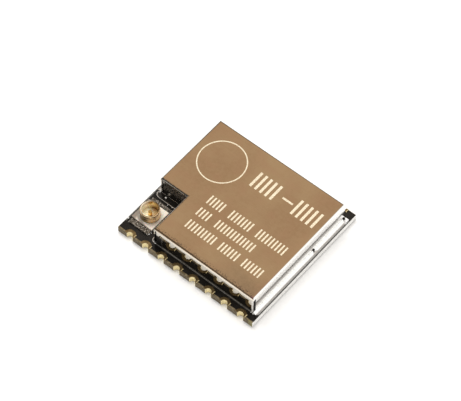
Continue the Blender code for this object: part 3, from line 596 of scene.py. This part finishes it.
# the dark colour is the sheet's sheared ends and also painted shade; the pale one is a painted highlight
DARK_ENDS_AND_SHADE, CORNER_HIGHLIGHT = (0.02, 0.018, 0.016), (0.95, 0.93, 0.89)
SHEET, CAN_EDGE = 0.15, 0.012 * MM
can_finish, spot = new_finish("bright_can", 0.1, 1.0)
x, y, level = spot.parts()
can_x0, can_x1, can_y1, top = CAN_LOW.x / MM, CAN_HIGH.x / MM, CAN_HIGH.y / MM, CAN_HIGH.z / MM
in_wall = can_x1 - SHEET - 0.01

# where the top's skin ends: it wraps over the near fold, and stops short of the one at +X
near_bend = y.rise(can_y0 + 0.24, can_y0 + 0.20) & x.rise(7.80, 7.72)
short_bend = x.rise(can_x1 - 0.22, can_x1 - 0.18)
on_top = (level.rise(top - 0.06, top - 0.01) & (1 - short_bend)) | level.rise(top - 0.020, top - 0.010)
on_top = on_top | near_bend & level.rise(top - 0.20, top - 0.12)
lit_short_wall = facing_x(spot).rise(0.35, 0.6)

# grain along the folds, with painted shade darkening the near fold as well, and the rolled skin's lines,
# scratches, specks and patches
beside_cut_out = x.rise(notch_x + 0.30, notch_x + 0.05) & y.rise(notch_y + 0.30, notch_y + 0.05)
near_fold = y.rise(can_y0 + 0.60, can_y0 + 0.28) | beside_cut_out
grit = spot.cloud(7.5, 3.0, 0.7).rise(0.50, 0.62)
# painted shade: the near fold's band is darkened throughout, more where the grit is
bend_grain_and_shade = near_bend * on_top * level.rise(top, top - 0.02) * (grit * 0.35 + 0.4)
grit_and_shade = near_fold * grit * on_top.rise(0.2, 0.5) | bend_grain_and_shade
rolling = spot.scaled(0.35, 9.0, 1.0).cloud(1.0, 4.0, 0.65)
scratches = 1 - spot.scaled(0.22, 3.1, 1.0).cells(1.0).rise(0.004, 0.012)
specks = 1 - spot.cells(1.3).rise(0.020, 0.035)
patches = spot.cloud(0.22, 3.0)

# sheared ends beside the open corners, with painted shade widening the slit at +X and a painted highlight
# on the near wall beside it, the near wall dark low down at its end by the cut-out, and painted shade on
# the unlit inside
low_wall_end = (x - notch_x).rise(1.25, 0.85) & y.rise(-6.9, -7.0) & level.rise(2.50, 2.32)
inside = (in_wall - abs(x)).rise(0.0, 0.005) & (y - can_y0).rise(SHEET, SHEET + 0.01)
inside = inside & level.rise(top - SHEET, top - SHEET - 0.01) & (can_y1 - y).rise(SHEET, SHEET + 0.01)
inside = inside & (x.rise(notch_x + 0.10, notch_x + 0.12) | y.rise(notch_y + 0.10, notch_y + 0.12))
at_slit = x.rise(can_x1 - 0.015, can_x1 - 0.005) | (y.rise(-6.96, -6.95) & x.rise(in_wall, in_wall + 0.01))
at_slit = at_slit & y.rise(-6.76, -6.78) & level.rise(3.0, 2.88)
# painted highlight: a pale, fully diffuse strip on the near wall beside the open corner at +X
corner_highlight = x.rise(7.64, 7.68) & x.rise(7.885, 7.875) & y.rise(-7.08, -7.09) & level.rise(3.0, 2.88)
dark_ends_and_shade = low_wall_end | inside | at_slit

# painted shade on the far folds and on the cut-out's fold, the cut-out's walls, and a rosy tarnish on
# one side of the top
# painted shade: the far folds are given a dark colour
far_fold_shade = y.rise(can_y1 - 0.36, can_y1 - 0.30) | x.rise(can_x0 + 0.36, can_x0 + 0.30)
far_fold_shade = far_fold_shade & level.rise(top - 0.004, top - 0.014) & level.rise(top - 0.28, top - 0.22)
far_fold_shade = far_fold_shade & x.rise(7.80, 7.70)
in_cut_out = x.rise(notch_x + 0.02, notch_x - 0.02) & y.rise(notch_y + 0.02, notch_y + 0.01)
# painted shade: the cut-out's fold is darkened towards the dark colour, unevenly with the grit
cut_out_fold_shade = beside_cut_out & level.rise(top - 0.35, top - 0.25) & (y - notch_y).rise(0.20, 0.12)
rosy = level.rise(top - 0.001, top - 0.006) & x.rise(7.4, 7.5) & y.rise(-1.0, -4.5) & on_top

# painted light and shade: short walls take the lit skin, long walls and the cut-out's walls the shaded ones
walls = lit_short_wall.tint(in_cut_out.tint(SHADED_LONG_WALL_SKIN, SHADED_CUT_OUT_SKIN), LIT_SHORT_WALL_SKIN)
# painted highlight: a pale band on the near long wall just below its fold
under_fold_highlight = level.rise(top - 0.45, top - 0.32) * x.rise(-6.0, 1.0) * (1 - lit_short_wall)
walls = corner_highlight.tint(under_fold_highlight.tint(walls, NEAR_FOLD_HIGHLIGHT), CORNER_HIGHLIGHT)
# the top is darker and bluer towards its near corner at +X
darker_near_corner = x.rise(1.0, 8.0) & y.rise(-4.2, -6.8)
tones = [[c * k for c, k in zip(TOP_SKIN_AND_REFLECTION, tone)] for tone in TOP_TONES]
tops = darker_near_corner.tint((patches + rolling * 0.2).rise(0.40, 0.85).tint(*tones[:2]), tones[2])
mottle = spot.cloud(2.4, 4.0, 0.7).rise(0.36, 0.64)
ruddy = spot.cloud(0.6, 3.0).rise(0.42, 0.66)
tops = (ruddy * 0.32).tint((mottle * 0.20).tint(tops, PALE_MOTTLE), RUDDY)
# the top's brown skin, partly a painted reflection of the warm ceiling, set against the walls' skins
skin = on_top.tint(walls, (rosy * 0.8).tint(tops, ROSY))
skin = far_fold_shade.tint((grit_and_shade * 0.85 | specks * 0.35).tint(skin, FOLD_GRAIN_AND_SHADE), FAR_FOLD_SHADE)
worn = patches * 0.06 + grit_and_shade * 0.18 + scratches * 0.08 + 0.03
dress(
    can_finish, (dark_ends_and_shade | cut_out_fold_shade * (grit * 0.4 + 0.5)).tint(skin, DARK_ENDS_AND_SHADE),
    roughness=worn | lit_short_wall * 0.11 * (1 - on_top) | dark_ends_and_shade * 0.5 | in_cut_out * 0.22 * (1 - on_top),
    relief=rolling * 0.15 + spot.cloud(0.7, 0.0) * (on_top * -1.0 + 2.5) + grit_and_shade * 2.5 + scratches * 0.3,
    metallic=1 - corner_highlight,
)
refined("bright_can", "shield_can", can_finish, smooth_below=38, round_edges=CAN_EDGE)


# Laser marks on the top: a plain ring and rows of plain strokes. The laser breaks the bright skin, so
# each mark is a pale frosted track with no depth to speak of.
MARK_RISE, MARK_SHADE, MARK_PALE = 0.002 * MM, (0.62, 0.50, 0.34), (0.90, 0.83, 0.64)
RING_CENTRE, RING_RADIUS, RING_LINE, RING_STEPS = (-4.50 * MM, 3.07 * MM), 2.50 * MM, 0.125 * MM, 144
DASH = (2.72, 3.98, 3.50, 3.72)
STROKE_ROWS = [
    # y from and to, stroke width, pitch, and each run's first x and number of strokes
    (2.65, 4.60, 0.27, 0.62, ((-0.75, 5), (4.35, 5))),
    (-1.62, -0.52, 0.17, 0.40, ((-2.65, 5), (0.05, 7), (3.45, 9))),
    (-3.28, -2.26, 0.17, 0.40, ((-2.60, 4), (-0.30, 12))),
    (-5.02, -3.98, 0.17, 0.40, ((-2.50, 9), (1.60, 6), (4.50, 6))),
]
mark_finish, spot = new_finish("laser_frost", 0.62, 0.15)
burn = spot.cloud(14.0, 3.0, 0.7).rise(0.36, 0.60)
dress(mark_finish, burn.tint(MARK_SHADE, MARK_PALE), relief=spot.cloud(20.0, 2.0) * 5.0)
work = bmesh.new()
low, high = CAN_HIGH.z - MARK_RISE, CAN_HIGH.z + MARK_RISE
inner, outer = RING_RADIUS - RING_LINE / 2, RING_RADIUS + RING_LINE / 2
middle = Vector((*RING_CENTRE, 0))
square = ((inner, low), (outer, low), (outer, high), (inner, high))
section = [work.verts.new(middle + Vector((r, 0, z))) for r, z in square]
sides = [work.edges.new((section[i - 1], section[i])) for i in range(4)]
bmesh.ops.spin(
    work, geom=section + sides, cent=middle, axis=(0, 0, 1), angle=math.tau, steps=RING_STEPS, use_merge=True)
bars = [DASH]
for y0, y1, width, pitch, runs in STROKE_ROWS:
    for first, count in runs:
        bars += [(first + n * pitch, first + n * pitch + width, y0, y1) for n in range(count)]
for x0, x1, y0, y1 in bars:
    place = Matrix.Translation(((x0 + x1) / 2 * MM, (y0 + y1) / 2 * MM, CAN_HIGH.z))
    size = Matrix.Diagonal(((x1 - x0) * MM, (y1 - y0) * MM, 2 * MARK_RISE, 1))
    bmesh.ops.create_cube(work, size=1.0, matrix=place @ size)
bmesh.ops.recalc_face_normals(work, faces=work.faces)
show("laser_marks", mesh_of(work, "laser_marks"), mark_finish)


# Antenna socket: a gold-plated ring with two ground straps and a centre contact, moulded into a block
# of off-white liquid-crystal polymer. The ring's shadow is painted on the block, on its -X side and round
# its foot towards -Y, and the ring's near side carries a painted dark reflection. The bore and the ring's
# inner wall are painted lit away from the soft box and in shade towards it, as light bounces round the
# plating.
SOCKET = (-6.86, -5.06)
# the third colour is the ring's painted shadow on the block
POLYMER_SHADE, POLYMER_PALE, RING_SHADOW_COLOUR = (0.72, 0.64, 0.55), (0.82, 0.75, 0.66), (0.14, 0.115, 0.085)
BORE_GLOW, BORE_SHADE = (1.0, 0.90, 0.62), (0.50, 0.32, 0.14)
# the third ring colour is a painted dark reflection for the ring's near side
RING_GOLD, RING_PALE, RING_DARK_REFLECTION = (0.84, 0.59, 0.33), (0.90, 0.67, 0.41), (0.22, 0.17, 0.08)
RING_GLOW, RING_SHADE = (1.0, 0.92, 0.74), (0.52, 0.36, 0.17)
PIN_GOLD, PIN_PALE = (0.72, 0.47, 0.15), (0.86, 0.60, 0.24)
RING_EDGE, PIN_EDGE = 0.012 * MM, 0.01 * MM


def round_socket(spot):
    """From the ring's axis: a point's place along X and Y, its distance squared, and towards the soft box."""
    x, y, _ = spot.parts()
    from_x, from_y = x - SOCKET[0], y - SOCKET[1]
    return from_x, from_y, from_x * from_x + from_y * from_y, from_x * 0.77 + from_y * 0.64


housing_finish, spot = new_finish("moulded_polymer", 0.38, Subsurface_Weight=0.12, Subsurface_Scale=0.0003)
from_x, from_y, from_axis, toward_box = round_socket(spot)
in_bore = from_axis.rise(0.90 ** 2, 0.84 ** 2)
# painted shadow: the ring's shadow on the block, on its -X side and round the ring's foot towards -Y
ring_shadow_side = (spot.cloud(1.6, 3.0) * 0.4 - from_x).rise(0.75, 1.15) * 0.8
flow = spot.scaled(0.8, 2.6, 2.0).cloud(1.0, 3.0)
fibres = spot.scaled(9.0, 40.0, 9.0).cloud(1.0, 3.0)
ring_shadow_foot = from_axis.rise(2.1, 1.5) & (from_x * -0.45 - from_y * 0.89).rise(0.85, 1.08)
moulded = (ring_shadow_side | ring_shadow_foot * 0.75).tint(flow.tint(POLYMER_SHADE, POLYMER_PALE), RING_SHADOW_COLOUR)
dress(
    # painted light and shade: the bore's floor is pale away from the soft box and darker towards it
    housing_finish, in_bore.tint(moulded, toward_box.rise(-0.15, 0.45).tint(BORE_GLOW, BORE_SHADE)),
    roughness=fibres * 0.2 + 0.28, relief=fibres * 2.0 + flow * 3.0,
)
refined("socket_housing", "antenna_socket_housing", housing_finish)

ring_finish, spot = new_finish("plated_ring", 0.15, 1.0)
turning = spot.scaled(1.5, 1.5, 40.0).cloud(1.0, 2.0)
warm = spot.cloud(1.4, 3.0)
from_x, from_y, from_axis, toward_box = round_socket(spot)
outside, inner = from_axis.rise(0.93 ** 2, 0.95 ** 2), from_axis.rise(0.93 ** 2, 0.90 ** 2)
# painted reflection: the ring's outer wall is darkened low on its near side, where it mirrors the dark board
# and front
dark_reflection = outside & spot.parts()[2].rise(2.0, 1.8) & (from_x * 0.3 + from_y).rise(-0.50, -0.85)
gold = warm.rise(0.3, 0.7).tint(RING_GOLD, RING_PALE)
# painted light and shade: the ring's inner wall is pale and partly diffuse away from the soft box, darker
# towards it
gold = inner.tint(gold, toward_box.rise(-0.55, 0.55).tint(RING_GLOW, RING_SHADE))
dress(
    ring_finish, (dark_reflection * 0.85).tint(gold, RING_DARK_REFLECTION),
    roughness=turning * 0.05 + warm * 0.08 + 0.12, relief=turning * 0.08 + spot.cloud(2.2) * 1.0,
    metallic=1 - inner * toward_box.rise(0.1, -0.4) * 0.6,
)
refined("socket_ring", "antenna_socket_shell", ring_finish, 32, RING_EDGE)

pin_finish, spot = new_finish("plated_pin", 0.15, 1.0)
dress(
    pin_finish, spot.cloud(6.0).tint(PIN_GOLD, PIN_PALE),
    roughness=spot.cloud(18.0) * 0.12 + 0.08, relief=spot.cloud(11.0) * 0.6,
)
refined("socket_pin", "antenna_socket_contact", pin_finish, 40, PIN_EDGE)


# Heaps of solder: the two wide ground straps keep a dull granular skin, because their pads draw the
# heat away. The socket's thin tail and the land's far corner take less paste, and flow smooth.
PASTE_BRIGHT, PASTE_DARK = (0.90, 0.88, 0.84), (0.19, 0.175, 0.15)
PASTE_GRAIN, PASTE_SWELL, PASTE_FOOT = 9.0, 2.5, 0.02 * MM
paste_finish, spot = new_finish("granular_solder", 0.35, 1.0)
grain = spot.cells(7.0)
clumps = spot.cloud(4.5, 4.0, 0.7)
dress(
    paste_finish, (clumps.rise(0.42, 0.62) | grain.rise(0.30, 0.60)).tint(PASTE_BRIGHT, PASTE_DARK),
    roughness=clumps * 0.35 + 0.12, relief=grain * -22.0 + clumps * 18.0,
)


def mound(name, x, y, crest, rough, finish, cuts=(56, 14)):
    """A heap of solder over this stretch of board, steep at its rim and closed underneath."""
    work = bmesh.new()
    middle = Vector(((x[0] + x[1]) / 2, (y[0] + y[1]) / 2, BOARD_HIGH.z / MM)) * MM
    half = Vector(((x[1] - x[0]) / 2, (y[1] - y[0]) / 2, 1)) * MM
    place = Matrix.Translation(middle) @ Matrix.Diagonal((half.x, half.y, 1, 1))
    bmesh.ops.create_grid(work, x_segments=cuts[0], y_segments=cuts[1], size=1.0, matrix=place)
    for v in work.verts:
        if v.is_boundary:
            v.co.z -= PASTE_FOOT
            continue
        across, along = abs((v.co.x - middle.x) / half.x), abs((v.co.y - middle.y) / half.y)
        swell = min(1.0, min(1 - across, 1 - along * 0.86) * 5) ** 0.5
        grains = wobble(v.co, PASTE_GRAIN, rough * MM)
        v.co.z += swell * crest * MM + grains + wobble(v.co, PASTE_SWELL, rough * MM)
        v.co.x += wobble(v.co.zxy, PASTE_GRAIN, rough * MM)
    rim = [e for e in work.edges if e.is_boundary]
    bmesh.ops.holes_fill(work, edges=rim, sides=0)
    bmesh.ops.recalc_face_normals(work, faces=work.faces)
    show(name, mesh_of(work, name), finish, smooth_below=50)


mound("near_strap_solder", (-8.16, -5.56), (-6.98, -6.38), 0.20, 0.050, paste_finish)
mound("far_strap_solder", (-8.14, -5.60), (-3.75, -3.21), 0.20, 0.055, paste_finish)
mound("corner_solder", (7.97, 8.37), (6.60, 7.09), 0.10, 0.006, land_finish, (10, 14))
mound("tail_solder", (-5.50, -5.10), (-5.36, -4.76), 0.16, 0.012, tin_finish, (20, 24))


# Inside the can, out of sight: chip components of one size, blue, tan or black between tinned ends,
# set out round the transceiver and soldered to the board in the same pass as the can.
BODIES = {"capacitor": (0.40, 0.26, 0.15), "inductor": (0.09, 0.16, 0.32), "resistor": (0.03, 0.03, 0.035)}
TIN, CAP_REACH, SOFT = (0.74, 0.73, 0.70), 0.25, 0.012
for node in sorted(nodes):
    kind = node.split("_")[0]
    if kind not in BODIES:
        continue
    low, high = (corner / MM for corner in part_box(node))
    along = 0 if high.x - low.x > high.y - low.y else 1
    reach = (high[along] - low[along]) / 2 - CAP_REACH
    finish, spot = new_finish(node + "_finish", 0.4)
    capped = abs(spot.parts()[along] - (low[along] + high[along]) / 2).rise(reach - SOFT, reach + SOFT)
    grain = spot.cloud(20.0, 3.0)
    body = grain.tint(BODIES[kind], [c * 0.75 for c in BODIES[kind]])
    dress(finish, capped.tint(body, TIN), grain * 0.25 + 0.25, grain * 3.0, metallic=capped)
    nodes[node].material_slots[0].material = finish


# The transceiver, its crystal and the antenna switch: moulded resin or ceramic, with tinned leads along
# the foot. The crystal's lid is a thin plated plate, seam-welded to the tray.
RESIN_BLACK, CERAMIC = (0.018, 0.018, 0.020), (0.14, 0.11, 0.085)
LEAD_TOP, LEAD_REACH, TRAY_FOOT = 0.89, 0.625, 0.10
LID_SHADE, LID_PALE = (0.60, 0.57, 0.50), (0.70, 0.67, 0.60)
for node, body, roughness in (
    ("transceiver_chip", RESIN_BLACK, 0.55),
    ("antenna_switch", RESIN_BLACK, 0.5),
    ("crystal_tray", CERAMIC, 0.6),
):
    low, high = (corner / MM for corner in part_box(node))
    finish, spot = new_finish(node + "_finish", roughness)
    x, y, level = spot.parts()
    if node == "transceiver_chip":
        leads = 1 - level.rise(LEAD_TOP - SOFT, LEAD_TOP + SOFT)
    elif node == "antenna_switch":
        leads = abs(y - (low.y + high.y) / 2).rise(LEAD_REACH, LEAD_REACH + SOFT)
    else:
        leads = 1 - level.rise(low.z + TRAY_FOOT, low.z + TRAY_FOOT + 0.02)
    grain = spot.cloud(26.0, 3.0)
    dress(
        finish, leads.tint(grain.tint(body, [c * 1.8 for c in body]), TIN),
        roughness=grain * 0.25 + roughness - 0.2, relief=grain * 4.0, metallic=leads,
    )
    nodes[node].material_slots[0].material = finish
lid_finish, spot = new_finish("welded_lid", 0.25, 1.0)
brushed = spot.scaled(2.0, 60.0, 2.0).cloud(1.0, 3.0)
dress(lid_finish, brushed.tint(LID_SHADE, LID_PALE), brushed * 0.2 + 0.15, brushed * 0.5)
nodes["crystal_lid"].material_slots[0].material = lid_finish
